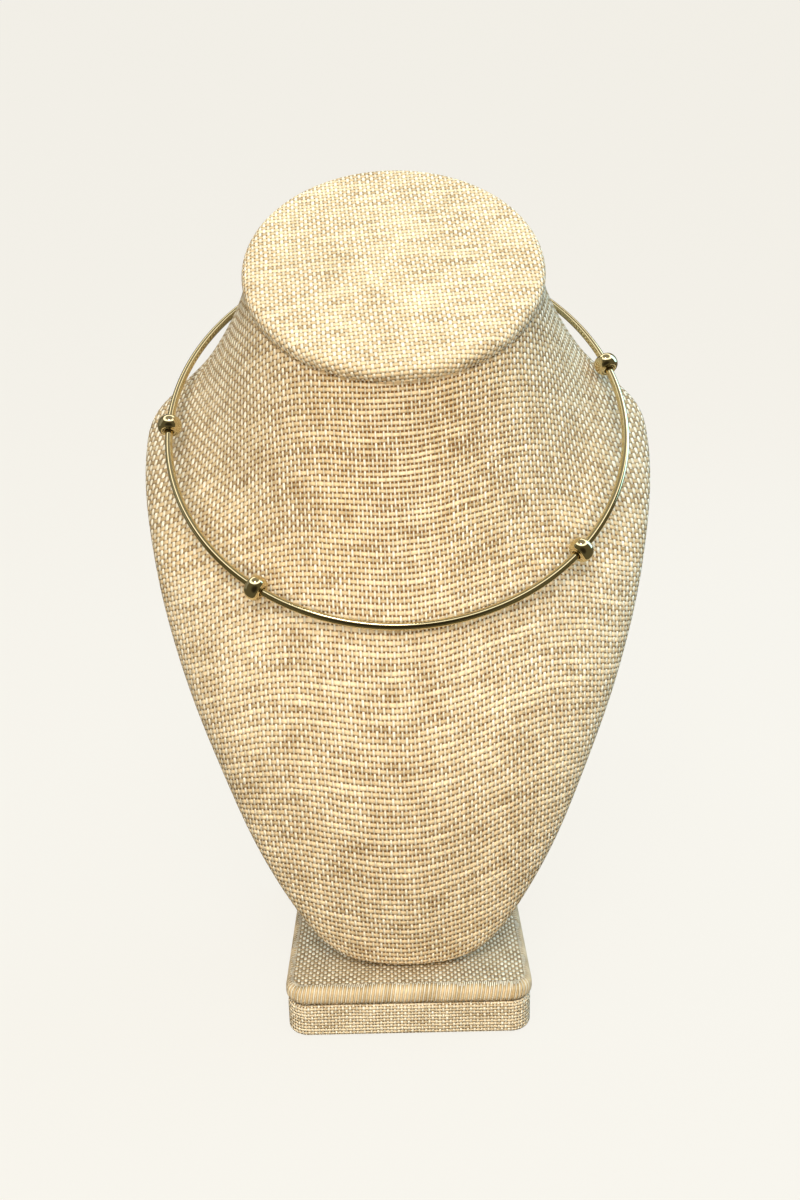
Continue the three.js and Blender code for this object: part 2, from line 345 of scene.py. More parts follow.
def cloth_spots(skin):
    """Where each point of the skin lies on the cloth, in metres: across from the front line,
    and down from the rim. Each level thread lies in a plane that sinks toward the back."""
    middle = skin.shape[1] // 2
    front = skin[:, middle]
    above = front[0] + np.outer(np.linspace(ABOVE_RIM, 0, 60, endpoint=False), (0, 0.25, 1.0))
    line = np.concatenate([above, front])
    run = running_length(line)
    run -= run[len(above)]
    steps = np.linspace(run[0], run[-1], 400)
    line_y = np.interp(steps, run, line[:, 1])
    line_z = np.interp(steps, run, line[:, 2])
    share = np.clip(steps / run[-1], 0, 1) * (len(THREAD_SLOPES) - 1)
    slope = smooth_column(np.array(THREAD_SLOPES), share)
    over = (skin[..., 2, None] - line_z) + slope * (skin[..., 1, None] - line_y)
    after = np.clip((over > 0).argmax(axis=-1), 1, len(steps) - 1)[..., None]
    value_before = np.take_along_axis(over, after - 1, -1)[..., 0]
    value_after = np.take_along_axis(over, after, -1)[..., 0]
    part = np.clip(-value_before / (value_after - value_before + 1e-12), -3, 3)
    down = steps[after[..., 0] - 1] + (steps[1] - steps[0]) * part
    down = np.concatenate([down, down[:, :1]], axis=1)
    closed = np.concatenate([skin, skin[:, :1]], axis=1)
    across = np.zeros_like(down)
    for side in (1, -1):
        for step in range(1, middle + 1):
            before = middle + side * (step - 1)
            here = middle + side * step
            moved = ((closed[:, here] - closed[:, before]) ** 2).sum(axis=-1)
            sunk = (down[:, here] - down[:, before]) ** 2
            moved_across = np.sqrt(np.maximum(moved - sunk, 0.05 * moved))
            across[:, here] = across[:, before] - side * moved_across
    return across, down


def chest_threads(skin):
    """Thread counts over the bust. The level threads lie wider apart at the crease than at
    the tip and wave a little, and the upright ones lie wider apart toward the sides."""
    burlap = settings("burlap")
    across, down = cloth_spots(skin)
    lean, sink = math.radians(WARP_LEAN), math.radians(WEFT_LEAN)
    warp = across * math.cos(lean) + down * math.sin(lean)
    weft = down * math.cos(sink) - across * math.sin(sink)
    height, span, shift = CHEST_WAVE
    weft = weft + height * np.sin(2 * math.pi * (across - shift) / span)
    tightening = (CREASE_ROW_PITCH - TIP_ROW_PITCH) / down[-1, skin.shape[1] // 2]
    left = np.maximum(1 - tightening * weft / CREASE_ROW_PITCH, 0.2)
    weft_count = -np.log(left) / tightening
    gain = math.sqrt(WARP_PITCH_GAIN)
    warp_count = np.arctan(gain * warp / WARP_GAIN_REACH) * WARP_GAIN_REACH / gain
    return np.stack([warp_count / burlap.chest_pitch, -weft_count], -1)


def back_threads(skin):
    """Thread counts over the back, a cloth of its own that is joined at the sides."""
    burlap = settings("burlap")
    closed = np.concatenate([skin, skin[:, :1]], axis=1)
    across = np.array([running_length(row) for row in closed])
    half = skin.shape[1] // 2
    across[:, half:] -= across[:, -1:]
    down = np.repeat(running_length(skin[:, 0])[:, None], closed.shape[1], axis=1)
    return np.stack([across / burlap.warp_pitch, -down / burlap.weft_pitch], -1)


# Materials


class Nodes:
    """Short calls for building a node tree."""

    def __init__(self, tree):
        self.tree = tree

    def add(self, kind, **values):
        node = self.tree.nodes.new(kind)
        for name, value in values.items():
            setattr(node, name, value)
        return node

    def feed(self, socket, value):
        if isinstance(value, bpy.types.NodeSocket):
            self.tree.links.new(value, socket)
        else:
            socket.default_value = value

    def math(self, operation, *values):
        node = self.add("ShaderNodeMath", operation=operation)
        for socket, value in zip(node.inputs, values):
            self.feed(socket, value)
        return node.outputs[0]

    def times(self, a, b):
        return self.math("MULTIPLY", a, b)

    def plus(self, a, b):
        return self.math("ADD", a, b)

    def minus(self, a, b):
        return self.math("SUBTRACT", a, b)

    def vector(self, operation, *values):
        node = self.add("ShaderNodeVectorMath", operation=operation)
        for socket, value in zip(node.inputs, values):
            self.feed(socket, value)
        return node.outputs[0]

    def scale(self, vector, by):
        node = self.add("ShaderNodeVectorMath", operation="SCALE")
        self.feed(node.inputs[0], vector)
        self.feed(node.inputs["Scale"], by)
        return node.outputs[0]

    def join(self, x, y, z=0.0):
        node = self.add("ShaderNodeCombineXYZ")
        for socket, value in zip(node.inputs, (x, y, z)):
            self.feed(socket, value)
        return node.outputs[0]

    def split(self, vector):
        node = self.add("ShaderNodeSeparateXYZ")
        self.feed(node.inputs[0], vector)
        return node.outputs[0], node.outputs[1]

    def noise(self, vector, scale, detail=2.0, roughness=0.5, dimensions="2D"):
        node = self.add("ShaderNodeTexNoise", noise_dimensions=dimensions)
        self.feed(node.inputs["Vector"], vector)
        self.feed(node.inputs["Scale"], scale)
        self.feed(node.inputs["Detail"], detail)
        self.feed(node.inputs["Roughness"], roughness)
        return node.outputs

    def ramp(self, value, low, high, new_low, new_high, kind="LINEAR"):
        node = self.add("ShaderNodeMapRange", interpolation_type=kind)
        for socket, given in zip(node.inputs, (value, low, high, new_low, new_high)):
            self.feed(socket, given)
        return node.outputs[0]

    def spread(self, *values):
        return self.ramp(*values, kind="SMOOTHSTEP")

    def mix(self, share, a, b, kind="RGBA"):
        node = self.add("ShaderNodeMix", data_type=kind)
        enabled = [s for s in node.inputs if s.enabled]
        for socket, value in zip(enabled, (share, a, b)):
            self.feed(socket, value)
        return next(s for s in node.outputs if s.enabled)


def rgba(tint):
    return (*tint, 1.0)


# Heights in the weave, as shares of its relief: how far a thread rises where it passes over
# another one, and the floor of the gaps between threads
WARP_RISE = 0.62
WEFT_RISE = 0.50
GAP_FLOOR = -1.1


def weave_group():
    """The plain weave. Threads are counted along the cloth's two directions; a warp thread
    passes over and under the wefts in turn, and each thread has its own thickness and tint."""
    burlap = settings("burlap")
    group = bpy.data.node_groups.new("plain weave", "ShaderNodeTree")
    face = group.interface
    for name, way, kind in (("Threads", "INPUT", "Vector"), ("Pull", "INPUT", "Float"),
                            ("Tone", "INPUT", "Float"), ("Colour", "OUTPUT", "Color"),
                            ("Height", "OUTPUT", "Float"), ("Roughness", "OUTPUT", "Float")):
        face.new_socket(name, in_out=way, socket_type="NodeSocket" + kind)
    n = Nodes(group)
    given = n.add("NodeGroupInput")
    threads, pull, tone = (given.outputs[name] for name in ("Threads", "Pull", "Tone"))

    # Slow wander of whole threads
    drift = n.vector("SUBTRACT", n.noise(threads, 0.11, 2.0)["Color"], (0.5, 0.5, 0.5))
    across, along = n.split(n.vector("ADD", threads, n.scale(drift, 0.5)))
    warp_wave = n.math("SINE", n.times(across, math.pi))
    weft_wave = n.math("SINE", n.times(along, math.pi))
    over = n.times(n.math("SIGN", warp_wave), n.math("SIGN", weft_wave))
    warp_centre = n.math("ABSOLUTE", warp_wave)
    weft_centre = n.math("ABSOLUTE", weft_wave)

    # Each thread's own thickness, with slubs along it
    warp_run = n.join(n.times(n.math("FLOOR", across), 3.7), n.times(along, 0.16))
    weft_run = n.join(n.times(across, 0.09), n.times(n.math("FLOOR", along), 5.3))
    warp_own = n.noise(warp_run, 1.0, 3.0)["Fac"]
    weft_own = n.noise(weft_run, 1.0, 3.0)["Fac"]
    warp_edge = n.plus(n.ramp(n.math("SQRT", pull), 0.0, 1.0, 0.20, 0.76),
                       n.ramp(warp_own, 0.3, 0.7, 0.13, -0.16))
    weft_edge = n.plus(n.ramp(pull, 0.0, 1.0, 0.05, 0.50),
                       n.ramp(weft_own, 0.3, 0.7, 0.16, -0.18))

    def thread(centre, other_centre, edge, rises):
        there = n.spread(centre, edge, n.plus(edge, 0.10), 0.0, 1.0)
        inside = n.minus(n.times(centre, centre), n.times(edge, edge))
        round_top = n.math("SQRT", n.math("MAXIMUM", inside, 0.0))
        lift = n.times(n.times(over, other_centre), rises)
        height = n.plus(n.times(round_top, 0.9), lift)
        return n.mix(there, GAP_FLOOR, height, "FLOAT"), round_top

    warp_height, warp_round = thread(warp_centre, weft_centre, warp_edge, WARP_RISE)
    weft_height, weft_round = thread(weft_centre, warp_centre, weft_edge, -WEFT_RISE)
    height = n.math("MAXIMUM", warp_height, weft_height)
    is_warp = n.math("GREATER_THAN", warp_height, weft_height)

    # Fibres lie along each thread
    warp_fibre = n.noise(n.join(n.times(across, 9.0), n.times(along, 1.1)), 1.0, 3.0, 0.6)["Fac"]
    weft_fibre = n.noise(n.join(n.times(across, 1.1), n.times(along, 9.0)), 1.0, 3.0, 0.6)["Fac"]
    fibre = n.mix(is_warp, weft_fibre, warp_fibre, "FLOAT")
    own = n.mix(is_warp, weft_own, n.ramp(warp_own, 0.0, 1.0, 0.25, 0.75), "FLOAT")
    roundness = n.mix(is_warp, weft_round, warp_round, "FLOAT")

    # The tint, darker on thin threads, with painted shade toward a thread's edges and where it
    # dips under, and painted light where it rises highest
    weft_tint = n.vector("MULTIPLY", n.join(tone, tone, tone), burlap.weft_tint)
    weft_tint = n.mix(n.spread(tone, 1.0, 1.25, 0.0, 1.0), weft_tint, rgba(burlap.warp_tint))
    tint = n.mix(is_warp, weft_tint, rgba(burlap.warp_tint))
    patch = n.noise(threads, 0.045, 3.0, 0.6)["Fac"]
    light = n.plus(n.ramp(own, 0.25, 0.75, 0.66, 1.26), n.ramp(fibre, 0.2, 0.8, -0.16, 0.16))
    light = n.plus(light, n.ramp(patch, 0.3, 0.7, -0.035, 0.035))
    # Painted shade toward a thread's edges and where it dips under, and painted light on its
    # highest crowns
    light = n.times(light, n.times(n.spread(roundness, 0.0, 0.8, 0.60, 1.0),
                                   n.spread(height, -0.5, 1.0, 0.72, 1.06)))
    browner = n.join(light, n.math("POWER", light, 1.15), n.math("POWER", light, 1.45))
    lit = n.vector("MULTIPLY", tint, browner)
    # Painted shade in the gaps between threads, over the backing's colour
    gap = n.spread(height, -1.0, -0.35, 1.0, 0.0)
    fuzz = n.times(n.minus(fibre, 0.5), 0.35)
    out = n.add("NodeGroupOutput")
    n.feed(out.inputs["Colour"], n.mix(gap, lit, rgba(burlap.gap_backing_and_shade)))
    n.feed(out.inputs["Height"], n.plus(height, fuzz))
    n.feed(out.inputs["Roughness"], n.spread(fibre, 0.2, 0.8, 0.95, 0.72))
    return group


def new_material(name):
    """A material, the short calls for its node tree, and its shader."""
    material = bpy.data.materials.new(name)
    material.use_nodes = True
    tree = material.node_tree
    return material, Nodes(tree), tree.nodes["Principled BSDF"]


def add_bump(n, shader, height, strength, distance):
    bump = n.add("ShaderNodeBump")
    bump.inputs["Strength"].default_value = strength
    bump.inputs["Distance"].default_value = distance
    n.feed(bump.inputs["Height"], height)
    n.feed(shader.inputs["Normal"], bump.outputs[0])


def burlap_material(name, pull, tone):
    """Burlap for one piece, with its threads from the piece's own thread counts. pull is how far
    the cloth is stretched open and tone how light its level threads are, which also carries
    painted shade on the bust's flanks and the upper board's top; each is a number or the name of
    an attribute of the mesh."""
    material, n, shader = new_material(name)
    weave = n.add("ShaderNodeGroup")
    weave.node_tree = bpy.data.node_groups.get("plain weave") or weave_group()
    threads = n.add("ShaderNodeUVMap", uv_map=THREADS)
    n.feed(weave.inputs["Threads"], threads.outputs[0])
    for socket, value in (("Pull", pull), ("Tone", tone)):
        if isinstance(value, str):
            value = n.add("ShaderNodeAttribute", attribute_name=value).outputs["Fac"]
        n.feed(weave.inputs[socket], value)
    add_bump(n, shader, weave.outputs["Height"], 1.0, settings("burlap").relief)
    n.feed(shader.inputs["Base Color"], weave.outputs["Colour"])
    n.feed(shader.inputs["Roughness"], weave.outputs["Roughness"])
    shader.inputs["Specular IOR Level"].default_value = 0.1
    shader.inputs["Sheen Weight"].default_value = 0.05
    shader.inputs["Sheen Roughness"].default_value = 0.5
    return material


POLISH_MARKS = 0.00004


def gold_material():
    """Pale polished gold plating with faint polishing marks."""
    collar = settings("collar")
    material = bpy.data.materials.get("polished gold")
    if material:
        return material
    material, n, shader = new_material("polished gold")
    place = n.add("ShaderNodeTexCoord").outputs["Object"]
    haze = n.noise(place, 420.0, 3.0, 0.6, "3D")["Fac"]
    marks = n.noise(place, 2600.0, 2.0, 0.5, "3D")["Fac"]
    tone = n.noise(place, 160.0, 2.0, 0.5, "3D")["Fac"]
    deep = tuple(channel * 0.93 for channel in collar.gold)
    n.feed(shader.inputs["Base Color"], n.mix(tone, rgba(deep), rgba(collar.gold)))
    shader.inputs["Metallic"].default_value = 1.0
    n.feed(shader.inputs["Roughness"],
           n.spread(haze, 0.3, 0.7, collar.polish * 0.6, collar.polish * 1.5))
    add_bump(n, shader, marks, 0.06, POLISH_MARKS)
    return material


def dress(piece, material, slot, *nodes):
    """Gives a piece its material and its place in the model."""
    piece.data.materials.clear()
    piece.data.materials.append(material)
    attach(piece, BODY)
    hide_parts(*nodes)


# The neck ring


LIP_SHARE = 0.45  # of a bead's flat face, from the bore outward
FACE_DIP = 0.00012
GROOVE_TOP = 0.0009
GROOVE_FLOOR = 0.0007


def ring_frame():
    """The ring's own axes: X to the right, -Y to its low front, Z out of its plane."""
    return Matrix.Translation(RING_CENTRE) @ Matrix.Rotation(RING_TILT, 4, "X")


def turned(name, profile, sides, place):
    """A closed ring turned round local Y from a closed profile of (radius, along)."""
    profile = np.asarray(profile)
    angle = np.linspace(0, 2 * math.pi, sides, endpoint=False)
    points = np.empty((sides, len(profile), 3))
    points[..., 0] = profile[None, :, 0] * np.cos(angle)[:, None]
    points[..., 1] = profile[None, :, 1]
    points[..., 2] = profile[None, :, 0] * np.sin(angle)[:, None]
    count = len(profile)
    faces = []
    for i in range(sides):
        j = (i + 1) % sides
        for k in range(count):
            m = (k + 1) % count
            faces.append((i * count + k, i * count + m, j * count + m, j * count + k))
    thing = make_object(name, points.reshape(-1, 3), faces)
    thing.data.transform(place)
    outward(thing)
    return thing


def bead_profile():
    """The section of a bead: a round belly between two dished faces with a lip at the bore."""
    collar = settings("collar")
    bore = collar.wire_diameter / 2 + collar.bore_gap
    belly = collar.bead_diameter / 2
    end = collar.bead_length / 2
    flat = collar.bead_face / 2
    lip = collar.bead_lip
    lip_width = (flat - bore) * LIP_SHARE
    rim = [(flat + (belly - flat) * math.cos(a), end * math.sin(a))
           for a in np.linspace(-math.pi / 2, math.pi / 2, 25)]
    dished = end - FACE_DIP
    low_face = [(bore, -dished), (bore, -dished - lip),
                (bore + lip_width * 0.5, -dished - lip * 1.2),
                (bore + lip_width, -dished),
                (flat - lip_width * 0.3, -end + FACE_DIP * 0.5)]
    return low_face + rim + mirrored(low_face)


def clasp_profile():
    """The section of the barrel: rounded ends and a shallow groove round the middle."""
    collar = settings("collar")
    bore = collar.wire_diameter / 2 + collar.bore_gap
    outer = collar.clasp_diameter / 2
    end = collar.clasp_length / 2
    chamfer = collar.clasp_chamfer
    rounding = [(outer - chamfer * (1 - math.cos(a)), chamfer * (1 + math.sin(a)) - end)
                for a in np.linspace(-math.pi / 2, 0, 7)]
    half_profile = [(bore, -end), *rounding, (outer, -GROOVE_TOP),
                    (outer - collar.clasp_groove, -GROOVE_FLOOR)]
    return half_profile + mirrored(half_profile)


def mirrored(profile):
    """The other half of a profile of (radius, along), in running order."""
    return [(radius, -along) for radius, along in reversed(profile)]


def threaded_place(node):
    """Where a turned piece sits on the wire, its bore along the wire."""
    local = ring_frame().inverted() @ box_centre(node)
    angle = math.atan2(local.x, -local.y)
    return (ring_frame() @ Matrix.Translation((local.x, local.y, 0))
            @ Matrix.Rotation(angle - math.pi / 2, 4, "Z"))


class NECKLACE_OT_collar_wire(bpy.types.Operator):
    """Bends the round wire into the tilted ring, open inside the clasp"""
    bl_idname = "necklace.collar_wire"
    bl_label = "Collar Wire"

    def execute(self, context):
        collar = settings("collar")
        steps, sides = 480, 24
        half_gap = collar.end_gap / 2 / RING_RADIUS
        along = np.linspace(half_gap, 2 * math.pi - half_gap, steps)
        around = np.linspace(0, 2 * math.pi, sides, endpoint=False)
        radius = RING_RADIUS + collar.wire_diameter / 2 * np.cos(around)[None, :]
        points = np.empty((steps, sides, 3))
        points[..., 0] = -radius * np.sin(along)[:, None]
        points[..., 1] = radius * np.cos(along)[:, None]
        points[..., 2] = collar.wire_diameter / 2 * np.sin(around)[None, :]
        ends = [(points[i].mean(axis=0), (0, 0)) for i in (0, -1)]
        vertices, faces, _ = closed_grid(points, None, *ends)
        wire = make_object("polished_collar_wire", vertices, faces)
        wire.data.transform(ring_frame())
        outward(wire)
        dress(wire, gold_material(), "gold", "collar_wire")
        return {"FINISHED"}


class NECKLACE_OT_beads(bpy.types.Operator):
    """Turns the four rondelle beads and threads them on the wire"""
    bl_idname = "necklace.beads"
    bl_label = "Beads"

    def execute(self, context):
        for node in BEADS:
            bead = turned("polished_" + node, bead_profile(), 64, threaded_place(node))
            dress(bead, gold_material(), "gold", node)
        return {"FINISHED"}


class NECKLACE_OT_clasp(bpy.types.Operator):
    """Turns the plain barrel that joins the wire's ends behind the neck"""
    bl_idname = "necklace.clasp"
    bl_label = "Clasp"

    def execute(self, context):
        place = threaded_place("collar_clasp")
        clasp = turned("polished_clasp", clasp_profile(), 48, place)
        dress(clasp, gold_material(), "gold", "collar_clasp")
        return {"FINISHED"}


# The bust


class NECKLACE_OT_bust(bpy.types.Operator):
    """Lofts the bust through its sections and lays the burlap over it"""
    bl_idname = "necklace.bust"
    bl_label = "Bust"

    def execute(self, context):
        rows, around = 120, 144
        skin = bust_skin(rows, around)
        threads = chest_threads(skin)
        first = (skin[0].mean(axis=0), threads[0, around // 2])
        last = (skin[-1].mean(axis=0), threads[-1, around // 2])
        vertices, faces, corners = closed_grid(skin, threads, first, last)
        # The quarter on each side of the nape line takes the back's own cloth
        back_corners = closed_grid(skin, back_threads(skin), first, last)[2]
        for face in range((rows - 1) * around):
            if not around // 4 <= face % around < around - around // 4:
                corners[face * 4:face * 4 + 4] = back_corners[face * 4:face * 4 + 4]
        bust = make_object("burlap_bust", vertices, faces, corners)
        places = np.array([v.co for v in bust.data.vertices])
        for name, values in zip(("pull", "tone"), chest_pull(places)):
            attribute = bust.data.attributes.new(name, "FLOAT", "POINT")
            attribute.data.foreach_set("value", values.astype(np.float32))
        outward(bust)
        dress(bust, burlap_material("bust burlap", "pull", "tone"), "burlap", "bust_form")
        return {"FINISHED"}


CENTRE_REACH = 0.037  # half width of the strip where the chest pulls the cloth most
CHEST_REACH = 0.070  # the same for the whole chest
FRONT_EDGE = 0.025  # behind this the cloth isn't stretched at all
FRONT_FADE = 0.030
OPEN_HEIGHT = 0.72  # heights are shares of the bust's own
OPEN_SPAN = 0.22
SHOULDER_HEIGHT = 0.84
PALE_HEIGHT = 0.66
HEIGHT_FADE = 0.16


def chest_pull(places):
    """How far the cloth is stretched open, most at the chest's centre under the crease, and how
    light its level threads are: lightest down the chest's centre and over the lower chest, and
    least on the shoulders, flanks and back, partly as the closer weave there and partly as painted
    shade."""
    x, y, z = places.T
    height = (z - z.min()) / (z.max() - z.min())
    centre = np.exp(-(x / CENTRE_REACH) ** 2)
    wide = np.exp(-(x / CHEST_REACH) ** 4)
    in_front = np.clip((FRONT_EDGE - y) / FRONT_FADE, 0, 1)
    open_chest = 0.12 + 0.44 * np.exp(-((height - OPEN_HEIGHT) / OPEN_SPAN) ** 2)
    below_shoulders = np.clip((SHOULDER_HEIGHT - height) / HEIGHT_FADE, 0, 1)
    pull = 0.09 + (0.38 * wide * below_shoulders + centre * open_chest) * in_front
    # The level threads are lightest down the chest's centre and on the lower chest; their
    # darkening on the flanks, shoulders and back is painted shade
    low = np.clip((PALE_HEIGHT - height) / HEIGHT_FADE, 0, 1)
    tone = 0.70 + 0.36 * np.maximum(centre, low) * in_front
    return pull, tone


CREASE_ROUNDING = 0.0003
CREASE_HEIGHT = 0.0002
CREASE_DEPTH = 0.0008
TOP_CLOTH_TURN = 4.5  # degrees
TOP_FIRST_THREADS = (311.0, 127.0)  # counts far from the chest's, so the slubs differ


class NECKLACE_OT_neck_cap(bpy.types.Operator):
    """Covers the neck's slanted top, with its edge rolled over"""
    bl_idname = "necklace.neck_cap"
    bl_label = "Neck Top"

    def execute(self, context):
        bust = settings("bust")
        side, front, back, _, _ = bust_guides(40)
        slope = back[0] - front[0]
        length_back = np.linalg.norm(slope)
        slope /= length_back
        across = side[0, 0] + bust.rim_overhang
        stretch = (length_back / 2 + bust.rim_overhang) / across
        profile = top_profile(across)
        angle = np.linspace(0, 2 * math.pi, 144, endpoint=False)
        around = np.stack([np.cos(angle), np.sin(angle) * stretch], 1)
        points = np.empty((len(profile), len(angle), 3))
        points[..., :2] = profile[:, None, :1] * around[None]
        points[..., 2] = profile[:, None, 1]
        run = running_length(profile) + profile[0, 0]
        threads = top_threads(run[:, None, None] * np.concatenate([around, around[:1]])[None])
        first = ((0, 0, bust.top_thickness + bust.top_crown), TOP_FIRST_THREADS)
        last = ((0, 0, 0), TOP_FIRST_THREADS)
        vertices, faces, corners = closed_grid(points, threads, first, last)
        cap = make_object("burlap_neck_top", vertices, faces, corners)
        middle = Vector((front[0] + back[0]) / 2)
        up = Vector((0, -slope[2], slope[1])) * bust.seat_gap
        rise = Matrix.Rotation(math.atan2(slope[2], slope[1]), 4, "X")
        cap.data.transform(Matrix.Translation(middle + up) @ rise)
        outward(cap)
        dress(cap, burlap_material("neck top burlap", 0.17, 1.05), "burlap", "neck_cap")
        return {"FINISHED"}


def top_profile(across):
    """The section of the neck's top, from its middle over the rounded rim to the crease."""
    bust = settings("bust")
    thick, crown, edge = bust.top_thickness, bust.top_crown, bust.rim_edge
    flat = across - edge
    profile = [(0.02 * flat, thick + crown)]
    profile += [(flat * s, thick + crown * math.cos(s * math.pi / 2))
                for s in np.linspace(0.06, 0.97, 24)]
    profile += [(flat + edge * math.sin(a), thick - edge + edge * math.cos(a))
                for a in np.linspace(0, math.pi / 2, 14)]
    profile += [(across, (thick - edge) * s) for s in (0.75, 0.5, 0.28)]
    profile += [(across - CREASE_ROUNDING, CREASE_HEIGHT), (across - CREASE_DEPTH, 0.0)]
    return np.array(profile)


def top_threads(spots):
    """Thread counts over the neck's top, whose cloth lies a little turned."""
    burlap = settings("burlap")
    turn = math.radians(TOP_CLOTH_TURN)
    across = spots[..., 0] * math.cos(turn) + spots[..., 1] * math.sin(turn)
    along = spots[..., 1] * math.cos(turn) - spots[..., 0] * math.sin(turn)
    threads = np.stack([across / burlap.warp_pitch, along / burlap.weft_pitch], -1)
    return threads + np.array(TOP_FIRST_THREADS)


# The base


STROKE_SLANT = 2  # strokes that the rim's cloth shifts from the top to the underside
POST_GAP = 0.0008
BOARD_CLOTH_SHARE = 0.86  # of the chest's pitches, on the boards' finer cloth


def rounded_outline(width, depth, corner, corner_steps, edge_steps):
    """Points and outward directions round a rectangle with rounded corners."""
    points = []
    normals = []
    reach = np.array([width / 2 - corner, depth / 2 - corner])
    centres = reach * ((1, -1), (1, 1), (-1, 1), (-1, -1))
    for turn, centre in enumerate(centres):
        for step in range(corner_steps + 1):
            a = math.radians(90 * (turn - 1 + step / corner_steps))
            normals.append(np.array([math.cos(a), math.sin(a)]))
            points.append(centre + corner * normals[-1])
        begin = points[-1]
        end = centres[(turn + 1) % 4] + corner * normals[-1]
        for step in range(1, edge_steps):
            points.append(begin + (end - begin) * step / edge_steps)
            normals.append(normals[-1])
    return np.array(points), np.array(normals)


def slab(name, node, edge, fold_over, pull, top_tone_and_shade, rim_tone):
    """A cloth-covered board. With fold_over the top's cloth turns down over the rim in
    slanting strokes, and otherwise a strip of cloth runs round it."""
    base = settings("base")
    burlap = settings("burlap")
    low, high = (Vector(c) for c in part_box(node))
    size = high - low
    outline, normals = rounded_outline(size.x, size.y, base.corner, 10, 24)
    profile = [(edge - edge * math.cos(a), size.z - edge + edge * math.sin(a))
               for a in np.linspace(math.pi / 2, 0, 9)]
    profile += [(0, edge + (size.z - 2 * edge) * s) for s in (0.66, 0.33)]
    profile += [(edge - edge * math.cos(a), edge - edge * math.sin(a))
                for a in np.linspace(0, math.pi / 2, 9)]
    profile = np.array(profile)
    run = running_length(profile)
    count = len(outline)
    points = np.empty((len(profile), count, 3))
    points[..., :2] = outline[None] - normals[None] * profile[:, None, :1]
    points[..., 2] = low.z + profile[:, None, 1]
    round_length = running_length(np.concatenate([outline, outline[:1]]))[None]
    down = np.repeat(run[:, None], count + 1, axis=1)
    if fold_over:
        share = down / run[-1]
        threads = np.stack([round_length / base.rim_stitch + share * STROKE_SLANT, share], -1)
    else:
        round_length = np.broadcast_to(round_length, down.shape)
        threads = np.stack([round_length, -down], -1) / base.strip_pitch
    vertices, faces, corners = closed_grid(points, threads)
    pitches = np.array([burlap.warp_pitch, burlap.weft_pitch]) * BOARD_CLOTH_SHARE
    last = (len(points) - 1) * count
    faces.append(tuple(range(count)))
    corners += list(points[0, :, :2] / pitches)
    faces.append(tuple(last + i for i in reversed(range(count))))
    corners += list(points[-1, ::-1, :2] / pitches)
    board = make_object(name, vertices, faces, corners)
    # On the upper board the top's darker tone is painted shadow from the bust above it
    tones = np.full(len(corners), rim_tone, np.float32)
    tones[-2 * count:] = top_tone_and_shade
    tone = board.data.attributes.new("tone", "FLOAT", "CORNER")
    tone.data.foreach_set("value", tones)
    outward(board)
    dress(board, burlap_material(name.replace("_", " "), pull, "tone"), "burlap", node)


class NECKLACE_OT_base(bpy.types.Operator):
    """Covers the two boards of the base and the post behind the chest"""
    bl_idname = "necklace.base"
    bl_label = "Base"

    def execute(self, context):
        base = settings("base")
        # The upper board's darker top is painted shadow from the bust
        slab("burlap_upper_board", "base_top_slab", base.upper_edge, fold_over=True,
             pull=0.05, top_tone_and_shade=0.62, rim_tone=0.98)
        slab("burlap_lower_board", "base_lower_slab", base.lower_edge, fold_over=False,
             pull=0.32, top_tone_and_shade=1.0, rim_tone=1.10)
        post()
        return {"FINISHED"}


def post():
    """The post's cloth, up to the slanted top under the bust's back."""
    base = settings("base")
    burlap = settings("burlap")
    low, high = (Vector(c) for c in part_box("support_post"))
    outline, _ = rounded_outline(high.x - low.x, high.y - low.y, base.post_corner, 8, 14)
    middle = np.array([(low.x + high.x) / 2, (low.y + high.y) / 2])
    outline += middle
    skin = bust_skin(240, 96)
    ceiling = np.array([post_ceiling(skin, place) for place in outline])
    shares = np.linspace(0, 1, 30)
    points = np.empty((len(shares), len(outline), 3))
    points[..., :2] = outline[None]
    points[..., 2] = low.z + (ceiling - low.z)[None, :] * shares[:, None]
    round_length = running_length(np.concatenate([outline, outline[:1]]))
    heights = np.concatenate([points[..., 2], points[:, :1, 2]], axis=1)
    threads = np.stack([np.broadcast_to(round_length, heights.shape) / burlap.warp_pitch,
                        heights / burlap.weft_pitch], -1)
    top = (*middle, post_ceiling(skin, middle))
    bottom = (*middle, low.z)
    vertices, faces, corners = closed_grid(points, threads, (bottom, (0, 0)), (top, (0, 0)))
    thing = make_object("burlap_post", vertices, faces, corners)
    outward(thing)
    dress(thing, burlap_material("post burlap", 0.1, 0.75), "burlap", "support_post")


def post_ceiling(skin, place):
    """Height of the bust's back over a point of the post, less a gap."""
    around = skin.shape[1]
    back = np.concatenate([skin[:, -around // 4:], skin[:, :around // 4]], axis=1)
    spots = back.reshape(-1, 3)
    distance = np.hypot(spots[:, 0] - place[0], spots[:, 1] - place[1])
    near = np.argsort(distance)[:6]
    height = np.average(spots[near, 2], weights=1 / (distance[near] + 1e-5))
    return min(height - POST_GAP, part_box("support_post")[1][2])


# The stage


def area_light(name, place, target, size, watts, tint):
    data = bpy.data.lights.new(name, "AREA")
    data.shape = "RECTANGLE"
    data.size, data.size_y = size
    data.energy = watts
    data.color = tint
    light = bpy.data.objects.new(name, data)
    light.location = place
    light.rotation_mode = "QUATERNION"
    light.rotation_quaternion = (Vector(target) - Vector(place)).to_track_quat("-Z", "Y")
    light.visible_camera = False
    bpy.context.scene.collection.objects.link(light)
    return light


class NECKLACE_OT_stage(bpy.types.Operator):
    """Sets the pale floor, the soft lights and the camera"""
    bl_idname = "necklace.stage"
    bl_label = "Stage"

    def execute(self, context):
        stage = settings("stage")
        make_floor(stage)
        make_lights(stage)
        make_sky(stage)
        make_camera()
        return {"FINISHED"}


FLOOR_SHADE = 0.06  # of the floor's tint, that the lights and shadows act on
FLOOR_DROP = 0.0002


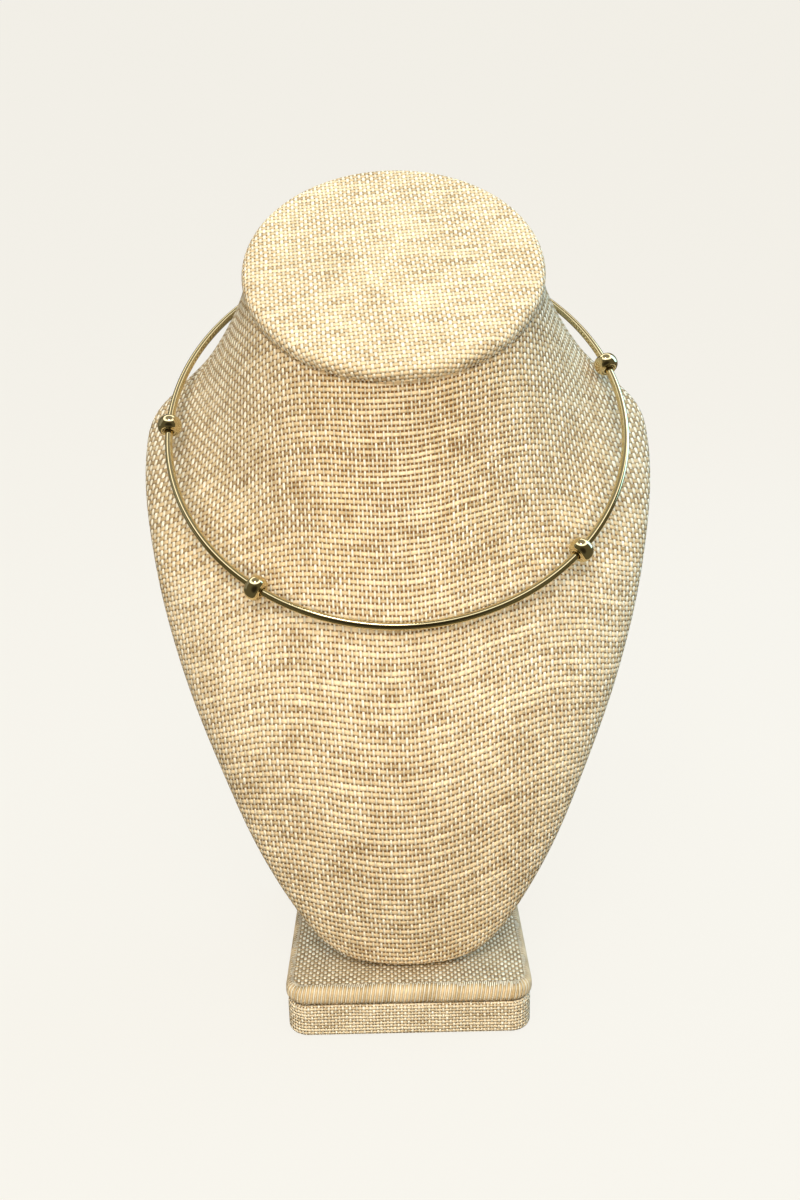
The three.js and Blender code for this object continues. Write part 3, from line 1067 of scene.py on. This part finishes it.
def make_floor(stage):
    """A round floor that sweeps up into a pale wall on all sides."""
    flat_radius, sweep, wall = 1.2, 0.6, 1.2
    profile = [(flat_radius * s, 0.0) for s in (0.1, 0.3, 0.6, 1.0)]
    profile += [(flat_radius + sweep * math.sin(a), sweep - sweep * math.cos(a))
                for a in np.linspace(0, math.pi / 2, 16)[1:]]
    profile += [(flat_radius + sweep, sweep + wall)]
    angle = np.linspace(0, 2 * math.pi, 96, endpoint=False)
    points = np.array([[(r * math.cos(a), r * math.sin(a), z - FLOOR_DROP) for a in angle]
                       for r, z in profile])
    vertices, faces, _ = closed_grid(points, None, ((0, 0, -FLOOR_DROP), (0, 0)))
    floor = make_object("pale_floor", vertices, faces)
    floor.data.materials.append(pale_floor_material(stage))
    floor.visible_diffuse = False
    floor.visible_glossy = False


def pale_floor_material(stage):
    """A pale floor with an even light of its own, so that it stays one flat tone and still
    takes the soft shadow at the foot."""
    material, n, shader = new_material("pale floor")
    place = n.add("ShaderNodeTexCoord").outputs["Object"]
    cloud = n.noise(place, 3.0, 2.0, 0.5, "3D")["Fac"]
    tint = tuple(channel * FLOOR_SHADE for channel in stage.floor_tint)
    deep = tuple(channel * 0.985 for channel in tint)
    n.feed(shader.inputs["Base Color"], n.mix(cloud, rgba(deep), rgba(tint)))
    shader.inputs["Roughness"].default_value = 0.9
    shader.inputs["Specular IOR Level"].default_value = 0.1
    shader.inputs["Emission Color"].default_value = rgba(stage.floor_tint)
    shader.inputs["Emission Strength"].default_value = stage.floor_glow
    return material


LIGHT_AIM = (0, 0.01, 0.13)
NECK_AIM = (0, 0.02, 0.2)
GLINT_SHARE = 0.10  # of the side light's power
LEFT_SHARE = 0.05


def make_lights(stage):
    """Two warm lights in front, a cool one over the neck and one on each side. The first
    three leave no reflection in the gold, and the small glint light is seen only there."""
    key = area_light("key_light", (-0.07, -0.85, 0.95), LIGHT_AIM, (0.7, 0.5),
                     stage.key_power, (1.0, 0.94, 0.84))
    fill = area_light("fill_light", (-0.05, -0.80, 0.12), LIGHT_AIM, (0.8, 0.4),
                      stage.fill_power, (1.0, 0.93, 0.82))
    top = area_light("top_light", (0.04, -0.08, 0.62), NECK_AIM, (0.3, 0.2),
                     stage.top_power, (0.50, 0.78, 1.0))
    for soft in (key, fill, top):
        soft.visible_glossy = False
    glint = area_light("glint_light", (-0.04, -0.28, 0.80), LIGHT_AIM, (0.10, 0.10),
                       stage.side_power * GLINT_SHARE, (1.0, 0.98, 0.95))
    glint.visible_diffuse = False
    area_light("left_light", (-0.85, 0.05, 0.45), LIGHT_AIM, (0.5, 0.8),
               stage.side_power * LEFT_SHARE, (0.86, 0.93, 1.0))
    area_light("right_light", (0.80, 0.25, 0.60), LIGHT_AIM, (0.5, 0.8),
               stage.side_power, (0.36, 0.70, 1.0))


def make_sky(stage):
    """A dim room with a bright band overhead, which the polished gold mirrors."""
    world = bpy.data.worlds.new("soft studio")
    world.use_nodes = True
    n = Nodes(world.node_tree)
    background = world.node_tree.nodes["Background"]
    direction = n.add("ShaderNodeSeparateXYZ")
    n.feed(direction.inputs[0], n.add("ShaderNodeTexCoord").outputs["Generated"])
    low_rim = n.spread(direction.outputs["Z"], 0.72, 0.78, 0.0, 1.0)
    high_rim = n.spread(direction.outputs["Z"], 0.86, 0.92, 1.0, 0.10)
    behind = n.spread(direction.outputs["Y"], 0.20, 0.95, 0.0, 0.07)
    bright = n.math("MAXIMUM", n.times(low_rim, high_rim), behind)
    dark_front = n.spread(direction.outputs["Y"], -0.97, -0.72, 1.0, 0.0)
    room = n.mix(dark_front, rgba((0.17, 0.16, 0.105)), rgba((0.04, 0.034, 0.02)))
    n.feed(background.inputs["Color"], n.mix(bright, room, rgba((3.1, 3.15, 3.2))))
    background.inputs["Strength"].default_value = stage.sky
    bpy.context.scene.world = world


# The camera's place, its turns in degrees and its lens in millimetres
CAMERA_PLACE = (-0.00018, -0.3215, 0.2072)
CAMERA_DOWN = 16.0
CAMERA_ROLL = 1.24
CAMERA_LENS = 34.5
CAMERA_SENSOR = 36.0


def make_camera():
    down = math.radians(CAMERA_DOWN)
    roll = math.radians(CAMERA_ROLL)
    level = Vector((1, 0, 0))
    rise = Vector((0, math.sin(down), math.cos(down)))
    forward = Vector((0, math.cos(down), -math.sin(down)))
    right = level * math.cos(roll) - rise * math.sin(roll)
    up = level * math.sin(roll) + rise * math.cos(roll)
    data = bpy.data.cameras.new("camera")
    data.lens = CAMERA_LENS
    data.sensor_width = CAMERA_SENSOR
    data.clip_start = 0.01
    camera = bpy.data.objects.new("camera", data)
    turn = Matrix((right, up, -forward)).transposed()
    camera.matrix_world = Matrix.Translation(CAMERA_PLACE) @ turn.to_4x4()
    bpy.context.scene.collection.objects.link(camera)
    bpy.context.scene.camera = camera
    bpy.context.scene.view_settings.view_transform = "Standard"


class NECKLACE_PT_panel(bpy.types.Panel):
    """Lists the settings and the steps"""
    bl_label = "Collar Choker Necklace"
    bl_idname = "NECKLACE_PT_panel"
    bl_space_type = "VIEW_3D"
    bl_region_type = "UI"
    bl_category = "Necklace"

    def draw(self, context):
        for group, kind in SETTINGS.items():
            box = self.layout.box()
            box.label(text=group.title())
            for name in kind.__annotations__:
                box.prop(settings(group), name)
        for step in STEPS:
            self.layout.operator(step.bl_idname)


STEPS = (
    NECKLACE_OT_stage,
    NECKLACE_OT_collar_wire,
    NECKLACE_OT_beads,
    NECKLACE_OT_clasp,
    NECKLACE_OT_bust,
    NECKLACE_OT_neck_cap,
    NECKLACE_OT_base,
)
CLASSES = (*SETTINGS.values(), *STEPS, NECKLACE_PT_panel)


def register():
    for kind in CLASSES:
        bpy.utils.register_class(kind)
    for group, kind in SETTINGS.items():
        pointer = bpy.props.PointerProperty(type=kind)
        setattr(bpy.types.Scene, "necklace_" + group, pointer)


def unregister():
    for group in SETTINGS:
        delattr(bpy.types.Scene, "necklace_" + group)
    for kind in reversed(CLASSES):
        bpy.utils.unregister_class(kind)


def main():
    register()
    bpy.ops.necklace.stage()
    bpy.ops.necklace.collar_wire()
    bpy.ops.necklace.beads()
    bpy.ops.necklace.clasp()
    bpy.ops.necklace.bust()
    bpy.ops.necklace.neck_cap()
    bpy.ops.necklace.base()


if __name__ == "__main__":
    main()
